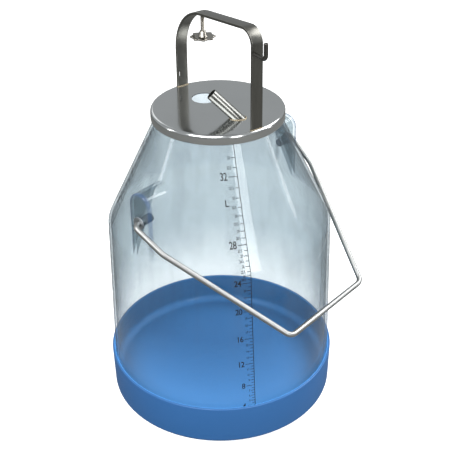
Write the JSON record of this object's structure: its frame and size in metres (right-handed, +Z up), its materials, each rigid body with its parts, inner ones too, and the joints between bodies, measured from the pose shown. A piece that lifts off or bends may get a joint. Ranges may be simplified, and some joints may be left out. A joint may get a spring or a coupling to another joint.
{
  "type": "milking machine bucket",
  "caption": "Clear plastic milk bucket with graduations, blue base cup, swinging bail, and a lifting steel lid with handle, inlet tube, pulsator port and clamp screw",
  "frame": {"origin": "centre of the flat hub under the base cup, on the ground", "axes": "+Z up along the bucket's axis; X along the bail's pivot line; the bail hangs to -Y at rest"},
  "size_m": [0.3612, 0.3833, 0.6177],
  "materials": {
    "blue_plastic": "moulded blue plastic, semi-gloss",
    "clear_polycarbonate": "clear, faintly blue-grey, glossy",
    "socket_steel": "plain turned steel",
    "stainless_wire": "satin stainless wire",
    "polished_stainless": "polished stainless sheet",
    "gasket_rubber": "black rubber",
    "satin_stainless": "satin stainless flat bar",
    "hook_steel": "drawn steel rod",
    "tube_stainless": "polished stainless tube",
    "screw_steel": "threaded stainless rod",
    "wheel_steel": "turned stainless hand wheel",
    "pad_steel": "turned stainless pad"
  },
  "bodies": {
    "bucket": {"base_cup": "blue_plastic", "bucket_body": "clear_polycarbonate", "bail_socket_left": "socket_steel", "bail_socket_right": "socket_steel"},
    "bail": {"bail": "stainless_wire"},
    "lid_set": {"lid": "polished_stainless", "lid_gasket": "gasket_rubber", "lid_handle": "satin_stainless", "cluster_hook": "hook_steel", "milk_inlet_tube": "tube_stainless"},
    "clamp_foot": {"clamp_pad": "pad_steel"},
    "clamp_spindle": {"clamp_screw": "screw_steel", "clamp_wheel": "wheel_steel"}
  },
  "joints": [
    {"name": "bail_swing", "type": "hinge", "parent": "bucket", "child": "bail", "pos_m": [0, 0, 0.362], "axis": [-1, 0, 0], "range_deg": [0, 95]},
    {"name": "lid_lift", "type": "slide", "parent": "bucket", "child": "lid_set", "axis": [0, 0, 1], "range_m": [0, 0.15]},
    {"name": "clamp_travel", "type": "slide", "parent": "lid_set", "child": "clamp_foot", "axis": [0, 0, 1], "range_m": [0, 0.0211]},
    {"name": "clamp_turn", "type": "hinge", "parent": "clamp_foot", "child": "clamp_spindle", "pos_m": [0.00851, 0.03292, 0.569], "axis": [0, 0, 1], "range_deg": [0, 7560]}
  ],
  "couplings": [
    {"joint": "clamp_travel", "follows": "clamp_turn", "m_per_rad": 0.00015915}
  ]
}
